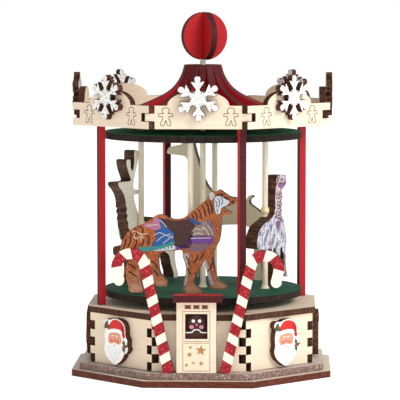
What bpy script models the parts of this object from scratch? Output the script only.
"""Wind-up carousel music box: a plywood drum, a turning platform with four animals, and a ribbed roof.

Metres, +Z up. The origin is the centre of the base's underside and the ticket booth faces -Y.
"""

import math

import bmesh
import bpy
from mathutils import Matrix, Vector

MM = 0.001

# Driving dimensions
SHEET = 3.2 * MM  # plywood sheet
GAP = 0.25 * MM  # left where two pieces touch
PLY = SHEET - GAP
BASE_APOTHEM = 63.0 * MM  # half the width across flats
STEP_APOTHEM = 59.4 * MM
WALL_APOTHEM = 54.1 * MM  # to the drum walls' outer faces
TOP_PLATE_APOTHEM = 55.5 * MM
VALANCE_APOTHEM = 60.4 * MM  # to the valance boards' outer faces
SIDES = 8
CORNER = math.radians(360 / SIDES / 2)

STEP_TOP = 2 * SHEET
WALL_TOP = 30.9 * MM
TOP_PLATE_TOP = 34.1 * MM
DISC_BOTTOM = 37.6 * MM
DISC_TOP = DISC_BOTTOM + SHEET
DISC_RADIUS = 48.8 * MM
UPPER_DISC_BOTTOM = 115.0 * MM
UPPER_DISC_TOP = UPPER_DISC_BOTTOM + SHEET
VALANCE_BOTTOM = 122.3 * MM
VALANCE_TOP = 133.3 * MM
CANOPY_PLATE_TOP = VALANCE_BOTTOM + GAP + SHEET
ROOF_TOP = 150.9 * MM
ROOF_TOP_RADIUS = 9.1 * MM

DOWEL_RADIUS = 1.4 * MM
POLE_ORBIT = 31.2 * MM  # poles' distance from the axis
POLE_AZIMUTHS = {"ostrich": 350.9, "giraffe": 80.9, "deer": 170.9, "tiger": 260.9}
POST_ORBIT = 52.8 * MM
POST_SIDE = 3.3 * MM
BALL_RADIUS = 11.8 * MM
BALL_X = 0.7 * MM
BALL_CENTRE = 164.9 * MM
BALL_BOTTOM = 153.2 * MM

KEY_RECESS_RADIUS = 28 * MM
CYLINDER_AXIS_Z = 20.1 * MM
GOVERNOR_X = -18.1 * MM
FAN_X = GOVERNOR_X - 7.15 * MM
FAN_Z = 17.8 * MM
KEY_RING_Z = 3.1 * MM
SHAFT_HOLE_RADIUS = DOWEL_RADIUS + 0.5 * MM
BUSH_RADIUS = 4.0 * MM
SPINDLE_RADIUS = 2.5 * MM
SPINDLE_TOP = 36.6 * MM
BARREL_TEETH, PINION_TEETH = 60, 12
CROWN_TEETH, CYLINDER_TEETH = 48, 16
WORM_WHEEL_TEETH, WORM_WHEEL_PITCH_RADIUS = 24, 5.45 * MM
BOARD_TOP = STEP_TOP + SHEET
BEDPLATE_LOW = BOARD_TOP + GAP
BEDPLATE_TOP = BEDPLATE_LOW + 1.5 * MM
COMB_SCREW_X = (21.5 * MM, 31.5 * MM)
COMB_SCREW_Y = 19.0 * MM

BOOTH_BACK = -(TOP_PLATE_APOTHEM + GAP)
BOOTH_X = -1.0 * MM
BOOTH_TOP = 40.3 * MM

COLOURS = {
    "birch": ((0.80, 0.68, 0.50), 0.6, 0.0),
    "red_paint": ((0.42, 0.02, 0.03), 0.45, 0.0),
    "green_paint": ((0.02, 0.16, 0.10), 0.6, 0.0),
    "glitter_step": ((0.60, 0.57, 0.58), 0.4, 0.2),
    "cane_cream": ((0.85, 0.78, 0.66), 0.5, 0.0),
    "dowel_wood": ((0.84, 0.74, 0.58), 0.6, 0.0),
    "cookie_brown": ((0.40, 0.20, 0.10), 0.7, 0.0),
    "tiger_print": ((0.60, 0.26, 0.08), 0.5, 0.0),
    "ostrich_print": ((0.62, 0.62, 0.64), 0.5, 0.0),
    "giraffe_print": ((0.62, 0.50, 0.36), 0.5, 0.0),
    "deer_print": ((0.45, 0.28, 0.15), 0.5, 0.0),
    "zinc": ((0.55, 0.55, 0.56), 0.4, 1.0),
    "brass": ((0.70, 0.52, 0.22), 0.3, 1.0),
    "steel": ((0.50, 0.51, 0.53), 0.3, 1.0),
}


def clear_scene():
    for obj in list(bpy.data.objects):
        bpy.data.objects.remove(obj)


def material(name):
    """The named finish, made the first time that it is asked for."""
    made = bpy.data.materials.get(name)
    if made:
        return made
    colour, roughness, metallic = COLOURS[name]
    made = bpy.data.materials.new(name)
    made.use_nodes = True
    shader = made.node_tree.nodes["Principled BSDF"]
    shader.inputs["Base Color"].default_value = (*colour, 1)
    shader.inputs["Roughness"].default_value = roughness
    shader.inputs["Metallic"].default_value = metallic
    return made


def add_object(name, shape, finish, place=None, rides_on=None, smooth=False):
    """The bmesh as a named object, put at the matrix place and parented to the empty that it turns with."""
    bmesh.ops.recalc_face_normals(shape, faces=shape.faces)
    mesh = bpy.data.meshes.new(name)
    shape.to_mesh(mesh)
    shape.free()
    if smooth:
        mesh.shade_smooth()
        mesh.set_sharp_from_angle(angle=math.radians(35))
    if finish:
        mesh.materials.append(material(finish))
    obj = bpy.data.objects.new(name, mesh)
    bpy.context.scene.collection.objects.link(obj)
    if place:
        obj.matrix_world = place
    if rides_on:
        obj.parent = rides_on
        obj.matrix_parent_inverse = rides_on.matrix_world.inverted()
    return obj


def axis_empty(name, location=(0, 0, 0)):
    """An empty on a joint's axis, which the joint's moving pieces are parented to."""
    empty = bpy.data.objects.new(name, None)
    empty.matrix_world = Matrix.Translation(location)
    bpy.context.scene.collection.objects.link(empty)
    return empty


def extruded(name, outline, depth, finish, place=None, rides_on=None, smooth=False):
    """An outline in the XY plane, extruded along +Z by depth."""
    shape = bmesh.new()
    face = shape.faces.new([shape.verts.new((x, y, 0)) for x, y in outline])
    pushed = bmesh.ops.extrude_face_region(shape, geom=[face])
    moved = [v for v in pushed["geom"] if isinstance(v, bmesh.types.BMVert)]
    bmesh.ops.translate(shape, verts=moved, vec=(0, 0, depth))
    return add_object(name, shape, finish, place, rides_on, smooth)


def spin_round(shape, geom, steps):
    """A full turn round Z, with the last step merged into the first."""
    bmesh.ops.spin(
        shape, geom=geom, cent=(0, 0, 0), axis=(0, 0, 1), angle=2 * math.pi, steps=steps, use_merge=True
    )


def turned(name, profile, finish, segments=48, place=None, rides_on=None):
    """A closed profile of (radius, height) points, spun round Z."""
    shape = bmesh.new()
    verts = [shape.verts.new((r, 0, z)) for r, z in profile]
    edges = [shape.edges.new((a, b)) for a, b in zip(verts, verts[1:] + verts[:1])]
    spin_round(shape, verts + edges, segments)
    bmesh.ops.remove_doubles(shape, verts=shape.verts, dist=1e-7)
    return add_object(name, shape, finish, place, rides_on, smooth=True)


def rod(name, radius, low, high, finish, segments=16, place=None, rides_on=None):
    """A round bar along Z from low to high."""
    shape = bmesh.new()
    bmesh.ops.create_cone(
        shape, cap_ends=True, segments=segments, radius1=radius, radius2=radius, depth=high - low,
        matrix=Matrix.Translation((0, 0, (low + high) / 2)),
    )
    return add_object(name, shape, finish, place, rides_on, smooth=True)


def block(name, low, high, finish=None, place=None, rides_on=None):
    """A box between two corners."""
    shape = bmesh.new()
    size = Vector(high) - Vector(low)
    middle = (Vector(high) + Vector(low)) / 2
    bmesh.ops.create_cube(shape, size=1, matrix=Matrix.Translation(middle) @ Matrix.Diagonal((*size, 1)))
    return add_object(name, shape, finish, place, rides_on)


def boolean(obj, other, operation):
    """Cuts the helper from obj, or joins it to obj, and keeps the helper out of the model."""
    modifier = obj.modifiers.new(f"{operation.lower()}_{other.name}", "BOOLEAN")
    modifier.operation = operation
    modifier.object = other
    other.hide_render = True
    other.display_type = "WIRE"


def bore(obj, radius, low, high, x=0.0, y=0.0, along="Z", segments=24):
    """A round hole. Along X or Y, low and high run along that axis, and x and y are the other two places."""
    turns = {
        "Z": Matrix(),
        "X": Matrix.Rotation(math.pi / 2, 4, "Y"),
        "Y": Matrix.Rotation(-math.pi / 2, 4, "X"),
    }
    at = {"Z": (x, y, 0), "X": (0, x, y), "Y": (x, 0, y)}
    place = Matrix.Translation(at[along]) @ turns[along]
    cutter = rod(f"{obj.name}_bore_{len(obj.modifiers)}", radius, low, high, None, segments, place)
    boolean(obj, cutter, "DIFFERENCE")


def polar(radius, degrees, z=0.0):
    return Vector((radius * math.cos(math.radians(degrees)), radius * math.sin(math.radians(degrees)), z))


def octagon(apothem):
    """Corners of a regular octagon with a flat side towards -Y."""
    radius = apothem / math.cos(CORNER)
    return [tuple(polar(radius, math.degrees(CORNER) + 45 * k).xy) for k in range(SIDES)]


def facing(azimuth, radius, z=0.0, twist=0.0):
    """Local X to the right as seen from outside, Y up and Z outwards, at that azimuth and distance."""
    out = polar(1, azimuth - twist)
    right = Vector((0, 0, 1)).cross(out)
    turn = Matrix((right, Vector((0, 0, 1)), out)).transposed().to_4x4()
    return Matrix.Translation(polar(radius, azimuth, z)) @ turn


def smooth_closed(points, steps=2):
    """A Catmull-Rom curve through the closed outline's points, in millimetres, given back in metres."""
    curve = []
    for i, p1 in enumerate(points):
        p0, p2, p3 = points[i - 1], points[(i + 1) % len(points)], points[(i + 2) % len(points)]
        for t in (s / steps for s in range(steps)):
            curve.append(tuple(MM * catmull_rom(p0[k], p1[k], p2[k], p3[k], t) for k in (0, 1)))
    return curve


def catmull_rom(a, b, c, d, t):
    return 0.5 * (2 * b + (c - a) * t + (2 * a - 5 * b + 4 * c - d) * t * t + (3 * b - a - 3 * c + d) * t**3)


def stepped_ends(levels, reaches):
    """The right end of a finger-jointed board, from the bottom up, by each level's heights and reach."""
    points = []
    for low, high, reach in zip(levels, levels[1:], reaches):
        points += [(reach, low), (reach, high)]
    return points


# Base and drum


def plates():
    base = extruded("base_plate", octagon(BASE_APOTHEM), SHEET, "red_paint")
    bore(base, KEY_RECESS_RADIUS, -SHEET, 2 * SHEET, segments=40)
    at = Matrix.Translation((0, 0, SHEET + GAP))
    step = extruded("step_plate", octagon(STEP_APOTHEM), PLY, "glitter_step", at)
    bore(step, KEY_RECESS_RADIUS, 0, 3 * SHEET, segments=40)
    at = Matrix.Translation((0, 0, WALL_TOP + GAP))
    top = extruded("drum_top_plate", octagon(TOP_PLATE_APOTHEM), PLY, "birch", at)
    bore(top, BUSH_RADIUS + GAP, WALL_TOP - SHEET, TOP_PLATE_TOP + SHEET)


def drum_walls():
    """Eight box-jointed boards: every second one has its fingers in the other rows."""
    rows = 6
    finger_play = 0.3 * MM
    cut_back = 3.4 * MM
    bottom = STEP_TOP + GAP
    row_height = (WALL_TOP - bottom) / rows
    full = WALL_APOTHEM * math.tan(CORNER)
    for k in range(SIDES):
        first_finger = k % 2
        reaches = [full if row % 2 == first_finger else full - cut_back for row in range(rows)]
        levels = [0.0]
        for row in range(1, rows):
            towards = -1 if reaches[row - 1] > reaches[row] else 1
            levels.append(row * row_height + towards * finger_play / 2)
        levels.append(rows * row_height)
        right = stepped_ends(levels, reaches)
        outline = right + [(-x, y) for x, y in reversed(right)]
        place = facing(270 + 45 * k, WALL_APOTHEM - SHEET, bottom)
        extruded(f"drum_wall_{k + 1}", outline, SHEET, "birch", place)


# Ticket booth and candy canes, glued to the drum top plate's front edge

# The middle of the foot and the hook's centre, across and up
CANES = {
    "candy_cane_left": ((-14.2 * MM, STEP_TOP + GAP), (-32.1 * MM, 56.6 * MM)),
    "candy_cane_right": ((12.4 * MM, STEP_TOP + GAP), (31.2 * MM, 55.9 * MM)),
}


def booth():
    half_width = 9.4 * MM
    window_half, window_low, window_high = 5.3 * MM, 22.9 * MM, 34.8 * MM
    across = Matrix.Translation((BOOTH_X, 0, 0))
    low, high = (-half_width, BOOTH_BACK - SHEET, STEP_TOP + GAP), (half_width, BOOTH_BACK, BOOTH_TOP)
    front = block("booth_front", low, high, "birch", across)
    low, high = (-window_half, 2 * BOOTH_BACK, window_low), (window_half, 0, window_high)
    boolean(front, block("window_cutter", low, high, None, across), "DIFFERENCE")
    roof_low = BOOTH_TOP + GAP
    low, high = (-12.0 * MM, -62.2 * MM, roof_low), (11.4 * MM, -53.2 * MM, roof_low + SHEET)
    block("booth_roof", low, high, "red_paint")
    clerk(across)


def clerk(across):
    """A gingerbread figure cut from thin card, glued in the window."""
    right_half = [
        (2.2, 23.2), (4.7, 23.2), (4.9, 25.2), (2.8, 26.4),
        (4.0, 28.6), (3.6, 31.6), (1.9, 33.5), (0, 34.0),
    ]
    outline = smooth_closed(right_half + [(-x, z) for x, z in reversed(right_half[:-1])])
    card = 1.1 * MM
    extruded("booth_clerk", outline, card, "cookie_brown", across @ facing(270, -BOOTH_BACK), smooth=True)


def candy_canes():
    """Flat canes that lean outwards. Each is one path, offset to both sides."""
    half_width, hook_radius, tail, arc_steps = 2.5 * MM, 6.7 * MM, 4.6 * MM, 12
    for name, (foot, hook) in CANES.items():
        foot, hook = Vector(foot), Vector(hook)
        span = hook - foot
        lean = math.atan2(abs(span.x), span.y) - math.asin(hook_radius / span.length)
        outwards = 1 if span.x > 0 else -1
        up = Vector((outwards * math.sin(lean), math.cos(lean)))
        side = Vector((outwards * up.y, -outwards * up.x))
        turns = [math.pi * step / arc_steps for step in range(arc_steps + 1)]
        directions = [up * math.sin(turn) - side * math.cos(turn) for turn in turns]
        inner = [hook + d * (hook_radius - half_width) for d in directions]
        outer = [hook + d * (hook_radius + half_width) for d in directions]
        tail_end = [outer[-1] - up * tail, inner[-1] - up * tail]
        half_foot = Vector((outwards * half_width / up.y, 0))
        outline = [foot - half_foot] + outer + tail_end + inner[::-1] + [foot + half_foot]
        extruded(name, outline, SHEET, "cane_cream", facing(270, -BOOTH_BACK), smooth=True)


# Canopy


def posts():
    low, high = TOP_PLATE_TOP + GAP, VALANCE_BOTTOM
    half = POST_SIDE / 2
    for k in range(4):
        place = Matrix.Rotation(math.radians(22.5 + 90 * k), 4, "Z")
        foot, head = (POST_ORBIT - half, -half, low), (POST_ORBIT + half, half, high)
        block(f"post_{k + 1}", foot, head, "red_paint", place)


def canopy_plate():
    apothem = VALANCE_APOTHEM - SHEET - GAP
    place = Matrix.Translation((0, 0, VALANCE_BOTTOM + GAP))
    plate = extruded("canopy_plate", octagon(apothem), SHEET, "birch", place)
    bore(plate, SHAFT_HOLE_RADIUS, VALANCE_BOTTOM - SHEET, VALANCE_TOP)


def valance_boards():
    """Scalloped boards: tabs in the middle of every second one, and above and below it on the others."""
    corner = VALANCE_APOTHEM * math.tan(CORNER)
    tab_low, tab_high = 125.9 * MM, 129.7 * MM
    play = 0.3 * MM
    arch_half, arch_rise, arch_steps = 14.6 * MM, 6.9 * MM, 16
    middle_tab = (4.5 * MM, 0.0, 4.5 * MM)
    outer_tabs = (-2.6 * MM, 2.6 * MM, -2.6 * MM)
    turns = [math.pi * s / arch_steps for s in range(arch_steps + 1)]
    arch = [(arch_half * math.cos(a), VALANCE_TOP + arch_rise * math.sin(a)) for a in turns]
    for k in range(SIDES):
        cut_backs = outer_tabs if k % 2 else middle_tab
        widen = play / 2 if k % 2 else -play / 2
        levels = [VALANCE_BOTTOM, tab_low - widen, tab_high + widen, VALANCE_TOP]
        right = stepped_ends(levels, [corner - c for c in cut_backs])
        outline = right + arch + [(-x, y) for x, y in reversed(right)]
        place = facing(270 + 45 * k, VALANCE_APOTHEM - SHEET)
        extruded(f"valance_board_{k + 1}", outline, SHEET, "birch", place, smooth=True)


def roof_outline(spread):
    """Half of a rib pair: a concave slope from the flat top down to the rim. spread shortens its run."""
    slope = [
        (9.1, 150.9), (11.0, 145.6), (14.4, 140.7), (19.2, 137.0),
        (26.2, 133.6), (36.0, 129.9), (46.0, 127.6), (57.6, 126.6),
    ]
    top = slope[0][0]
    curve = []
    for i in range(len(slope) - 1):
        around = [slope[max(0, min(j, len(slope) - 1))] for j in (i - 1, i, i + 1, i + 2)]
        curve += [tuple(catmull_rom(*(p[k] for p in around), t) for k in (0, 1)) for t in (0, 0.5)]
    curve.append(slope[-1])
    return [((top + (r - top) * spread) * MM, z * MM) for r, z in curve]


def roof():
    """Sixteen radial ribs round a core: eight long ones to the corners and eight short ones to the flats."""
    bottom = CANOPY_PLATE_TOP + GAP
    half_thickness = SHEET / 2
    core_radius = ROOF_TOP_RADIUS - 0.3 * MM
    core = rod("roof_ribs", core_radius, bottom, ROOF_TOP - 0.2 * MM, "red_paint", 32)
    for k in range(SIDES):
        long_rib = k % 2 == 0
        right = roof_outline(1.0 if long_rib else 0.86)
        edge = right + [(right[-1][0], bottom)]
        outline = edge + [(-x, z) for x, z in reversed(edge)]
        place = facing(22.5 * (k + 1) + 90, 0) @ Matrix.Translation((0, 0, -half_thickness))
        boolean(core, extruded(f"rib_pair_{k + 1}", outline, SHEET, None, place), "UNION")
    bore(core, SHAFT_HOLE_RADIUS, bottom - SHEET, ROOF_TOP + SHEET)


# Turning platform


def platform(axis):
    disc = rod("turntable_disc", DISC_RADIUS, DISC_BOTTOM, DISC_TOP, "green_paint", 72, rides_on=axis)
    bore(disc, DOWEL_RADIUS + GAP, DISC_BOTTOM - SHEET, DISC_TOP + SHEET)
    upper_low, upper_high = UPPER_DISC_BOTTOM, UPPER_DISC_TOP
    upper = rod("upper_disc", DISC_RADIUS, upper_low, upper_high, "green_paint", 72, rides_on=axis)
    bore(upper, DOWEL_RADIUS + GAP, UPPER_DISC_BOTTOM - SHEET, UPPER_DISC_TOP + SHEET)
    rod("centre_shaft", DOWEL_RADIUS, DISC_BOTTOM, BALL_BOTTOM - GAP, "dowel_wood", 16, rides_on=axis)
    for number, azimuth in enumerate(POLE_AZIMUTHS.values(), 1):
        place = Matrix.Translation(polar(POLE_ORBIT, azimuth))
        low, name = DISC_TOP + GAP, f"animal_pole_{number}"
        rod(name, DOWEL_RADIUS, low, UPPER_DISC_TOP, "dowel_wood", 16, place, axis)
        x, y = polar(POLE_ORBIT, azimuth).xy
        bore(upper, DOWEL_RADIUS + GAP, UPPER_DISC_BOTTOM - SHEET, UPPER_DISC_TOP + SHEET, x, y)
    hub_low, flange_low, hub_high = TOP_PLATE_TOP + GAP, 36.0 * MM, DISC_BOTTOM - GAP
    hub_radius, flange_radius, socket = 6 * MM, 10 * MM, SPINDLE_RADIUS + GAP
    socket_top = SPINDLE_TOP + GAP
    turned(
        "turntable_hub",
        [(0, hub_high), (flange_radius, hub_high), (flange_radius, flange_low), (hub_radius, flange_low),
         (hub_radius, hub_low), (socket, hub_low), (socket, socket_top), (0, socket_top)],
        "brass",
        32,
        rides_on=axis,
    )


# Each outline starts at the nose and runs under the body, in millimetres from the pole and the turntable
TIGER = [
    (23.2, 45.9), (22.4, 44.4), (19.8, 43.6), (17.4, 42.9), (18.4, 41.6), (20.9, 40.6), (19.8, 39.3),
    (16.2, 38.8), (15.9, 34.0), (15.6, 30.0), (14.9, 26.6), (13.0, 23.2), (12.1, 20.0), (12.4, 15.5),
    (13.2, 11.0), (14.2, 7.8), (17.4, 6.2), (18.8, 4.2), (17.2, 3.4), (11.4, 3.4), (10.2, 6.4),
    (9.0, 11.2), (7.8, 17.4), (5.4, 13.6), (3.4, 9.4), (2.8, 5.2), (5.8, 3.4), (7.0, 1.5), (5.8, 0.7),
    (-1.6, 0.7), (-2.5, 3.4), (-2.2, 7.0), (-1.3, 11.0), (-1.6, 15.0), (-2.9, 19.0), (-3.2, 21.7),
    (-7.0, 21.4), (-12.0, 21.1), (-14.6, 19.0), (-14.8, 15.0), (-14.2, 11.0), (-12.5, 8.6),
    (-10.6, 7.0), (-10.4, 4.8), (-11.6, 4.1), (-15.8, 4.2), (-17.0, 7.6), (-18.4, 12.0), (-19.2, 17.2),
    (-21.8, 15.6), (-24.0, 12.4), (-23.6, 7.0), (-22.6, 3.2), (-22.2, 1.4), (-23.4, 0.7), (-28.6, 0.7),
    (-29.8, 3.6), (-30.8, 9.0), (-31.0, 13.0), (-29.2, 17.0), (-29.6, 21.0), (-31.2, 17.4),
    (-33.0, 16.2), (-34.1, 18.8), (-33.6, 22.6), (-32.7, 25.4), (-31.3, 28.0), (-28.9, 30.9),
    (-26.0, 32.8), (-22.3, 34.3), (-19.9, 35.6), (-17.0, 37.8), (-14.6, 38.9), (-11.3, 38.3),
    (-8.9, 36.9), (-4.8, 36.8), (-1.9, 37.8), (0.5, 39.7), (3.4, 42.0), (5.8, 44.2), (9.1, 46.7),
    (10.1, 49.3), (11.4, 50.6), (13.0, 50.0), (15.0, 51.4), (17.4, 49.9), (19.7, 48.4), (22.3, 47.3),
]
OSTRICH = [
    (13.2, 54.7), (13.5, 51.3), (9.9, 49.1), (8.8, 46.3), (9.5, 44.4), (7.9, 43.3), (9.3, 41.3),
    (7.7, 39.9), (9.3, 37.9), (8.2, 36.5), (10.4, 33.8), (12.0, 29.3), (13.7, 25.5), (13.7, 21.7),
    (13.0, 16.0), (13.3, 10.0), (14.4, 6.6), (15.8, 5.0), (12.2, 4.9), (11.4, 10.0), (10.8, 16.0),
    (9.6, 19.6), (7.6, 20.2), (6.8, 16.0), (6.4, 9.0), (7.0, 3.4), (9.6, 0.9), (3.8, 0.8), (4.2, 4.0),
    (3.8, 10.0), (3.4, 17.0), (1.2, 20.1), (-6.6, 20.1), (-14.5, 20.8), (-17.1, 21.7), (-17.6, 24.4),
    (-16.7, 27.4), (-14.2, 30.6), (-10.3, 32.7), (-4.0, 34.5), (0.2, 36.5), (1.3, 38.9), (1.5, 43.8),
    (1.9, 49.3), (2.5, 51.1), (2.8, 54.4), (5.2, 55.6), (9.2, 55.7), (12.2, 55.5),
]
GIRAFFE = [
    (27.8, 64.2), (26.8, 63.2), (23.1, 62.9), (18.5, 62.5), (16.4, 61.0), (15.8, 57.0), (15.0, 47.0),
    (14.6, 38.0), (14.6, 32.6), (14.0, 28.4), (13.6, 24.0), (13.4, 16.0), (13.2, 8.0), (14.0, 2.2),
    (13.6, 0.8), (9.8, 0.8), (9.6, 2.6), (9.8, 8.0), (9.2, 16.0), (8.0, 24.6), (5.0, 27.6),
    (-3.2, 27.9), (-11.6, 28.4), (-17.8, 27.6), (-20.4, 23.0), (-20.8, 16.0), (-21.6, 8.0),
    (-21.0, 2.2), (-21.6, 0.8), (-25.0, 0.8), (-25.4, 2.6), (-25.0, 8.0), (-24.4, 17.0), (-25.6, 26.0),
    (-26.0, 31.0), (-25.4, 34.2), (-23.0, 36.3), (-20.2, 38.1), (-18.6, 39.2), (-18.2, 41.2),
    (-20.0, 42.5), (-19.6, 43.6), (-17.6, 43.0), (-16.6, 40.9), (-14.7, 41.3), (-9.1, 42.3),
    (-3.2, 42.7), (2.4, 44.9), (5.5, 48.0), (8.3, 53.6), (9.7, 58.7), (11.5, 63.7), (12.6, 67.6),
    (13.4, 70.2), (14.8, 68.9), (17.2, 68.7), (17.8, 70.4), (19.0, 70.2), (19.4, 68.4), (22.2, 67.8),
    (26.4, 66.6),
]
DEER = [
    (16.3, 52.2), (16.0, 50.4), (13.8, 48.4), (11.6, 45.7), (10.5, 42.7), (10.3, 40.5), (9.3, 38.9),
    (10.1, 37.2), (8.9, 35.4), (9.7, 33.7), (8.3, 31.9), (8.5, 29.8), (6.9, 27.5), (6.5, 25.3),
    (5.7, 22.7), (6.3, 20.5), (9.2, 20.2), (12.0, 19.8), (12.8, 18.2), (12.2, 15.9), (9.8, 15.2),
    (9.0, 16.9), (6.0, 17.4), (4.6, 14.0), (3.7, 8.0), (4.2, 2.6), (4.0, 0.8), (0.8, 0.8), (0.6, 4.0),
    (0.2, 9.0), (-1.0, 15.2), (-3.2, 17.0), (-10.0, 17.6), (-17.0, 16.4), (-22.4, 14.6), (-25.4, 12.6),
    (-26.8, 8.0), (-29.0, 3.4), (-29.4, 1.2), (-32.4, 1.2), (-33.1, 2.7), (-31.8, 5.4), (-30.5, 10.0),
    (-30.4, 15.0), (-29.4, 20.0), (-28.4, 25.0), (-27.8, 28.6), (-28.8, 31.2), (-26.4, 32.0),
    (-21.0, 31.2), (-16.0, 30.8), (-14.0, 31.4), (-12.4, 33.2), (-10.6, 31.6), (-7.0, 31.0),
    (-4.0, 31.6), (-1.4, 33.6), (0.6, 36.7), (2.9, 41.5), (3.7, 45.2), (1.6, 45.4), (-0.7, 46.0),
    (-0.9, 47.4), (1.6, 47.9), (3.7, 48.3), (4.1, 50.3), (3.7, 52.8), (2.6, 56.5), (1.2, 60.1),
    (0.1, 64.0), (0.1, 67.1), (3.3, 67.2), (3.4, 63.6), (3.9, 59.4), (4.9, 57.4), (6.4, 59.2),
    (6.6, 62.8), (9.7, 63.0), (9.4, 59.9), (8.0, 56.6), (6.6, 54.0), (6.4, 52.6), (9.6, 52.3),
    (13.0, 52.4),
]
# outline, finish, number of sheets glued together, and the turn away from the tangent in degrees
ANIMALS = {
    "tiger": (TIGER, "tiger_print", 1, 0),
    "ostrich": (OSTRICH, "ostrich_print", 1, 18),
    "giraffe": (GIRAFFE, "giraffe_print", 1, 14),
    "deer": (DEER, "deer_print", 2, 25),
}
SLOTTED = "ostrich"  # a second sheet behind it takes the pole in a slot


def animals(axis):
    """Flat cut-outs, glued to the outer sides of their poles and facing the way that the platform turns."""
    for name, (outline, finish, sheets, twist) in ANIMALS.items():
        stand_off = Matrix.Translation((0, 0, DOWEL_RADIUS + GAP))
        place = facing(POLE_AZIMUTHS[name], POLE_ORBIT, DISC_TOP, twist) @ stand_off
        if name != SLOTTED:
            extruded(name, smooth_closed(outline), sheets * SHEET, finish, place, axis, smooth=True)
            continue
        inner = place @ Matrix.Translation((0, 0, -SHEET))
        depth = (sheets + 1) * SHEET
        cut_out = extruded(name, smooth_closed(outline), depth, finish, inner, axis, smooth=True)
        half_slot = DOWEL_RADIUS + GAP
        corners = (-half_slot, -SHEET, -SHEET), (half_slot, BALL_CENTRE, SHEET)
        boolean(cut_out, block("pole_slot_cutter", *corners, None, inner), "DIFFERENCE")


def finial(axis):
    """Two discs, half-lapped at right angles, flat at the bottom where the shaft meets them."""
    floor = BALL_BOTTOM - BALL_CENTRE
    flat_angle = math.asin(floor / BALL_RADIUS)
    steps = 32
    turns = [flat_angle + (math.pi - 2 * flat_angle) * s / steps for s in range(steps + 1)]
    rim = [(BALL_RADIUS * math.cos(a), BALL_RADIUS * math.sin(a)) for a in turns]
    half_slot = SHEET / 2 + GAP
    lap = 0.15 * MM
    slots = {1: (floor - SHEET, lap), 2: (-lap, BALL_RADIUS + SHEET)}
    for number, azimuth in ((1, 297), (2, 207)):
        place = Matrix.Translation((BALL_X, 0, 0)) @ facing(azimuth, -SHEET / 2, BALL_CENTRE)
        disc = extruded(f"finial_disc_{number}", rim, SHEET, "red_paint", place, axis, smooth=True)
        low, high = slots[number]
        corners = (-half_slot, low, -SHEET), (half_slot, high, 2 * SHEET)
        slot = block(f"slot_cutter_{number}", *corners, None, place)
        boolean(disc, slot, "DIFFERENCE")


# Musical movement, inside the drum


def gear_outline(teeth, root, tip, root_width, tip_width, first=0.0):
    """Straight-sided teeth, the first one centred on the angle first."""
    outline = []
    for k in range(teeth):
        middle = first + 2 * math.pi * k / teeth
        for radius, offset in ((root, -root_width), (tip, -tip_width), (tip, tip_width), (root, root_width)):
            angle = middle + offset / 2 / radius
            outline.append((radius * math.cos(angle), radius * math.sin(angle)))
    return outline


def barrel(axis):
    """An open can with a toothed flange, crown teeth on it, and the spindle that turns the platform."""
    flange_low, flange_high = 13.0 * MM, 15.0 * MM
    can_radius, cavity_radius, can_top, cavity_top = 11.6 * MM, 10.8 * MM, 24.5 * MM, 23.3 * MM
    outline = gear_outline(BARREL_TEETH, 14.4 * MM, 15.4 * MM, 0.75 * MM, 0.45 * MM)
    flange = extruded("spring_barrel", outline, flange_high - flange_low, "brass",
                      Matrix.Translation((0, 0, flange_low)), axis)
    can = turned(
        "barrel_can",
        [(0, SPINDLE_TOP), (SPINDLE_RADIUS, SPINDLE_TOP), (SPINDLE_RADIUS, can_top), (can_radius, can_top),
         (can_radius, flange_low + 0.5 * MM), (0, flange_low + 0.5 * MM)],
        None,
    )
    boolean(flange, can, "UNION")
    crown_height, crown_inner, crown_outer, half_tooth = 0.95 * MM, 12.4 * MM, 14.2 * MM, 0.3 * MM
    sunk = 0.3 * MM
    teeth = bmesh.new()
    tooth_z = flange_high + (crown_height - sunk) / 2
    middle = Matrix.Translation(((crown_inner + crown_outer) / 2, 0, tooth_z))
    for k in range(CROWN_TEETH):
        turn = Matrix.Rotation(2 * math.pi * (k + 0.5) / CROWN_TEETH, 4, "Z")
        size = Matrix.Diagonal((crown_outer - crown_inner, 2 * half_tooth, crown_height + sunk, 1))
        bmesh.ops.create_cube(teeth, size=1, matrix=turn @ middle @ size)
    boolean(flange, add_object("crown_teeth", teeth, None), "UNION")
    bore(flange, cavity_radius, flange_low - SHEET, cavity_top, segments=48)
    lid_low = flange_low + 0.2 * MM
    turned(
        "barrel_lid",
        [(2.2 * MM, lid_low), (cavity_radius - GAP, lid_low), (cavity_radius - GAP, lid_low + 0.8 * MM),
         (2.2 * MM, lid_low + 0.8 * MM)],
        "brass",
        32,
        rides_on=axis,
    )


def mainspring(axis):
    """A spiral strip standing on edge in the barrel."""
    low, high = 14.4 * MM, 22.8 * MM
    inner, outer, strip = 3.0 * MM, 10.2 * MM, 0.45 * MM
    coils, steps = 5, 20
    shape = bmesh.new()
    pairs = []
    for s in range(coils * steps + 1):
        radius = inner + (outer - inner) * s / (coils * steps)
        angle = 2 * math.pi * s / steps
        direction = Vector((math.cos(angle), math.sin(angle), 0))
        pairs.append([shape.verts.new(direction * r + Vector((0, 0, low))) for r in (radius, radius + strip)])
    strip_faces = [shape.faces.new((a[0], a[1], b[1], b[0])) for a, b in zip(pairs, pairs[1:])]
    pushed = bmesh.ops.extrude_face_region(shape, geom=strip_faces)
    moved = [v for v in pushed["geom"] if isinstance(v, bmesh.types.BMVert)]
    bmesh.ops.translate(shape, verts=moved, vec=(0, 0, high - low))
    add_object("mainspring", shape, "steel", rides_on=axis)


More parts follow.
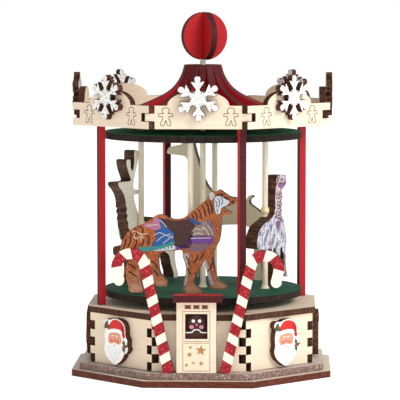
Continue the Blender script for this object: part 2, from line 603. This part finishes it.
def pin_cylinder(axis):
    """The studded cylinder on its arbor, with the wheel that the crown teeth drive. It lies along +X."""
    rows, around = 18, 24
    start, end, radius = 17.0 * MM, 36.0 * MM, 6.5 * MM
    arbor, arbor_low, arbor_high = 0.9 * MM, 12.2 * MM, 39.4 * MM
    wheel_low, wheel_high, hub_radius = 12.6 * MM, 14.2 * MM, 2.0 * MM
    body = [(radius, start + (end - start) * i / rows) for i in range(rows + 1)]
    near_end = [(0, arbor_low), (arbor, arbor_low), (arbor, start)]
    far_end = [(arbor, end), (arbor, arbor_high), (0, arbor_high)]
    profile = near_end + body + far_end
    along_x = Matrix.Translation((0, 0, CYLINDER_AXIS_Z)) @ Matrix.Rotation(math.pi / 2, 4, "Y")
    shape = bmesh.new()
    verts = [shape.verts.new((r, 0, z)) for r, z in profile]
    edges = [shape.edges.new((a, b)) for a, b in zip(verts, verts[1:])]
    spin_round(shape, verts + edges, around)
    bmesh.ops.remove_doubles(shape, verts=shape.verts, dist=1e-7)
    bmesh.ops.recalc_face_normals(shape, faces=shape.faces)
    add_pins(shape, rows, around, start, end, radius)
    cylinder = add_object("pin_cylinder", shape, "brass", along_x, axis, smooth=True)
    outline = gear_outline(CYLINDER_TEETH, 4.0 * MM, 4.9 * MM, 0.8 * MM, 0.4 * MM)
    at = along_x @ Matrix.Translation((0, 0, wheel_low))
    boolean(cylinder, extruded("cylinder_wheel", outline, wheel_high - wheel_low, None, at), "UNION")
    low, high = wheel_low - 0.2 * MM, wheel_high + 0.4 * MM
    collar = rod("cylinder_collar", hub_radius, low, high, None, 16, along_x)
    boolean(cylinder, collar, "UNION")


def add_pins(shape, rows, around, start, end, radius):
    """Two pins in each note's row, raised from the cylinder's own faces."""
    shape.faces.ensure_lookup_table()
    chosen = []
    for face in shape.faces:
        middle = face.calc_center_median()
        if abs(math.hypot(middle.x, middle.y) - radius) > 0.1 * MM or not start < middle.z < end:
            continue
        row = int((middle.z - start) / (end - start) * rows)
        column = int((math.atan2(middle.y, middle.x) % (2 * math.pi)) / (2 * math.pi) * around)
        if column in ((7 * row) % around, (7 * row + 11) % around):
            chosen.append(face)
    bmesh.ops.inset_individual(shape, faces=chosen, thickness=0.3 * MM)
    raised = bmesh.ops.extrude_discrete_faces(shape, faces=chosen)
    for face in raised["faces"]:
        bmesh.ops.translate(shape, verts=face.verts, vec=face.normal * 0.45 * MM)


def comb():
    """Eighteen tuned teeth cut into one steel plate, and the two screws that hold it on its block."""
    notes = 18
    left, right, tip, root, back = 17.2 * MM, 35.8 * MM, 7.4 * MM, 16.0 * MM, 22.0 * MM
    low, thickness, slot = 19.7 * MM, 0.8 * MM, 0.3 * MM
    pitch = (right - left) / notes
    outline = [(left, back)]
    for note in range(notes):
        near = left + note * pitch + (slot / 2 if note else 0)
        far = left + (note + 1) * pitch - (slot / 2 if note < notes - 1 else 0)
        outline += [(near, root), (near, tip), (far, tip), (far, root)]
    outline.append((right, back))
    plate = extruded("tone_comb", outline, thickness, "steel", Matrix.Translation((0, 0, low)))
    shank, head, head_height = 0.8 * MM, 1.7 * MM, 1.1 * MM
    for number, x in enumerate(COMB_SCREW_X, 1):
        bore(plate, shank + GAP, low - SHEET, low + SHEET, x, COMB_SCREW_Y)
        head_low = low + thickness + GAP
        turned(
            f"comb_screw_{number}",
            [(0, head_low + head_height), (head, head_low + head_height), (head, head_low), (shank, head_low),
             (shank, 15.6 * MM), (0, 15.6 * MM)],
            "steel",
            16,
            Matrix.Translation((x, COMB_SCREW_Y, 0)),
        )


def bedplate():
    """One casting: the plate, the comb's block, the cylinder's two bearing cheeks and the governor's stud."""
    plate = block("bedplate", (-30 * MM, -15 * MM, BEDPLATE_LOW), (41 * MM, 24 * MM, BEDPLATE_TOP), "zinc")
    sunk = BEDPLATE_LOW + 0.5 * MM
    comb_block_top = 19.45 * MM
    cheek_top, cheek_half = 22.6 * MM, 3.0 * MM
    raised = {
        "comb_block": ((17.0 * MM, 14.6 * MM, sunk), (36.0 * MM, 22.0 * MM, comb_block_top)),
        "inner_cheek": ((15.8 * MM, -cheek_half, sunk), (16.75 * MM, cheek_half, cheek_top)),
        "outer_cheek": ((36.3 * MM, -cheek_half, sunk), (38.4 * MM, cheek_half, cheek_top)),
    }
    for name, (low, high) in raised.items():
        boolean(plate, block(name, low, high), "UNION")
    stud = rod("governor_stud", 0.6 * MM, sunk, 19.4 * MM, None, 12, Matrix.Translation((GOVERNOR_X, 0, 0)))
    boolean(plate, stud, "UNION")
    bore(plate, 1.2 * MM, 14 * MM, 40 * MM, 0, CYLINDER_AXIS_Z, along="X", segments=16)
    bore(plate, 2.2 * MM, BEDPLATE_LOW - SHEET, BEDPLATE_TOP + 0.5 * MM)
    for x in COMB_SCREW_X:
        bore(plate, 1.05 * MM, 15.3 * MM, 21 * MM, x, COMB_SCREW_Y, segments=12)
    at = Matrix.Translation((0, 0, STEP_TOP + GAP))
    board = extruded("movement_board", octagon(47.5 * MM), PLY, "birch", at)
    bore(board, 2.6 * MM, STEP_TOP - SHEET, BOARD_TOP + SHEET)


def governor(wheel_axis, fan_axis):
    """The pinion and worm wheel on the stud, and the four-start worm with its two-bladed fan."""
    half_pitch = math.pi / PINION_TEETH
    pinion = extruded(
        "governor_wheel",
        gear_outline(PINION_TEETH, 2.3 * MM, 3.3 * MM, 0.7 * MM, 0.4 * MM, half_pitch),
        2.4 * MM,
        "brass",
        Matrix.Translation((GOVERNOR_X, 0, 12.8 * MM)),
        wheel_axis,
    )
    low, high = 17.4 * MM, 18.2 * MM
    root, tip = WORM_WHEEL_PITCH_RADIUS - 0.35 * MM, WORM_WHEEL_PITCH_RADIUS + 0.35 * MM
    outline = gear_outline(WORM_WHEEL_TEETH, root, tip, 0.7 * MM, 0.4 * MM)
    at = Matrix.Translation((GOVERNOR_X, 0, low))
    boolean(pinion, extruded("worm_wheel", outline, high - low, None, at), "UNION")
    at = Matrix.Translation((GOVERNOR_X, 0, 0))
    boolean(pinion, rod("wheel_collar", 1.6 * MM, 13 * MM, 19 * MM, None, 16, at), "UNION")
    bore(pinion, 0.85 * MM, 12 * MM, 20 * MM, GOVERNOR_X, 0, segments=12)
    worm(fan_axis)
    bracket()


def worm(fan_axis):
    """A worm whose threads are a formula, on an arbor along Y that carries the fan."""
    starts, core, thread, arbor = 4, 1.1 * MM, 0.45 * MM, 0.6 * MM
    lead = starts * 2 * math.pi * WORM_WHEEL_PITCH_RADIUS / WORM_WHEEL_TEETH
    half_length, arbor_low, arbor_high, around, rings = 3.0 * MM, -7.9 * MM, 10.4 * MM, 24, 12
    along_y = Matrix.Translation((FAN_X, 0, FAN_Z)) @ Matrix.Rotation(-math.pi / 2, 4, "X")
    shape = bmesh.new()
    loops = []
    for i in range(rings + 1):
        z = -half_length + 2 * half_length * i / rings
        radii = [core + thread * max(0, -math.cos(starts * 2 * math.pi * (j / around - z / lead)))
                 for j in range(around)]
        loops.append([(radii[j], j, z) for j in range(around)])
    heights = (arbor_low, -half_length, half_length, arbor_high)
    ends = [[(arbor, j, z) for j in range(around)] for z in heights]
    loops = ends[:2] + loops + ends[2:]
    step = 2 * math.pi / around
    made = [
        [shape.verts.new((r * math.cos(step * j), r * math.sin(step * j), z)) for r, j, z in loop]
        for loop in loops
    ]
    for low, high in zip(made, made[1:]):
        for j in range(around):
            shape.faces.new((low[j], low[(j + 1) % around], high[(j + 1) % around], high[j]))
    shape.faces.new(list(reversed(made[0])))
    shape.faces.new(made[-1])
    fan = add_object("governor_fan", shape, "brass", along_y, fan_axis, smooth=True)
    blade = 4.4 * MM
    blades = block("fan_blades", (-blade, -0.4 * MM, 8.2 * MM), (blade, 0.4 * MM, 10.2 * MM), None, along_y)
    boolean(fan, blades, "UNION")


def bracket():
    """A U of sheet brass with a bearing hole in each arm for the worm's arbor."""
    inner, wall = 6.6 * MM, 1.0 * MM
    low, foot, high = BEDPLATE_TOP + GAP, 12.6 * MM, 20.4 * MM
    outline = [(-inner - wall, low), (inner + wall, low), (inner + wall, high), (inner, high), (inner, foot),
               (-inner, foot), (-inner, high), (-inner - wall, high)]
    place = facing(0, FAN_X - 2.4 * MM)
    piece = extruded("governor_bracket", outline, 4.8 * MM, "brass", place)
    bore(piece, 0.85 * MM, -10 * MM, 10 * MM, FAN_X, FAN_Z, along="Y", segments=12)


def winding(key_axis, ring_axis):
    """The arbor at the mainspring's centre, and the folding key in the recess under the base."""
    arbor_radius, arbor_low, arbor_top = 1.5 * MM, 4.9 * MM, 22.9 * MM
    rod("winding_arbor", arbor_radius, arbor_low, arbor_top, "steel", 16, rides_on=key_axis)
    hub_radius, hub_low, hub_high = 4.5 * MM, 1.0 * MM, 6.1 * MM
    hub = rod("key_hub", hub_radius, hub_low, hub_high, "steel", 24, rides_on=key_axis)
    bore(hub, arbor_radius + GAP, 4.7 * MM, hub_high + SHEET, segments=16)
    bore(hub, 1.2 * MM, -9 * MM, 9 * MM, 0, KEY_RING_Z, along="Y", segments=16)
    key_ring(ring_axis)


def key_ring(ring_axis):
    """A bent wire: a straight pin through the hub and a round-cornered bow beside it."""
    wire, half_width, reach, corner = 0.9 * MM, 7.5 * MM, 16.0 * MM, 5.0 * MM
    corners = []
    quarter = 5
    centre_x, centre_y = reach - corner, half_width - corner
    for centre, first in (((centre_x, centre_y), 90), ((centre_x, -centre_y), 0)):
        for s in range(quarter + 1):
            angle = math.radians(first - 90 * s / quarter)
            corners.append((centre[0] + corner * math.cos(angle), centre[1] + corner * math.sin(angle)))
    route = [(0, -half_width), (0, half_width)] + corners
    curve = bpy.data.curves.new("key_ring", "CURVE")
    curve.dimensions = "3D"
    curve.bevel_depth = wire
    curve.bevel_resolution = 2
    spline = curve.splines.new("POLY")
    spline.points.add(len(route) - 1)
    for point, (x, y) in zip(spline.points, route):
        point.co = (x, y, 0, 1)
    spline.use_cyclic_u = True
    curve.materials.append(material("steel"))
    ring = bpy.data.objects.new("key_ring", curve)
    bpy.context.scene.collection.objects.link(ring)
    ring.parent = ring_axis


def bush():
    low, plate_low = 30.0 * MM, WALL_TOP
    inner, flange = SPINDLE_RADIUS + GAP, 6.0 * MM
    turned(
        "shaft_bush",
        [(BUSH_RADIUS, plate_low), (BUSH_RADIUS, TOP_PLATE_TOP), (inner, TOP_PLATE_TOP), (inner, low),
         (flange, low), (flange, plate_low)],
        "brass",
        32,
    )


def main():
    clear_scene()
    turntable_axis = axis_empty("turntable_axis")
    cylinder_axis = axis_empty("cylinder_axis", (0, 0, CYLINDER_AXIS_Z))
    governor_axis = axis_empty("governor_axis", (GOVERNOR_X, 0, 0))
    fan_axis = axis_empty("fan_axis", (FAN_X, 0, FAN_Z))
    key_axis = axis_empty("key_axis")
    ring_axis = axis_empty("key_ring_axis", (0, 0, KEY_RING_Z))
    plates()
    drum_walls()
    booth()
    candy_canes()
    posts()
    canopy_plate()
    valance_boards()
    roof()
    platform(turntable_axis)
    animals(turntable_axis)
    finial(turntable_axis)
    barrel(turntable_axis)
    mainspring(turntable_axis)
    pin_cylinder(cylinder_axis)
    comb()
    bedplate()
    governor(governor_axis, fan_axis)
    winding(key_axis, ring_axis)
    bush()


main()
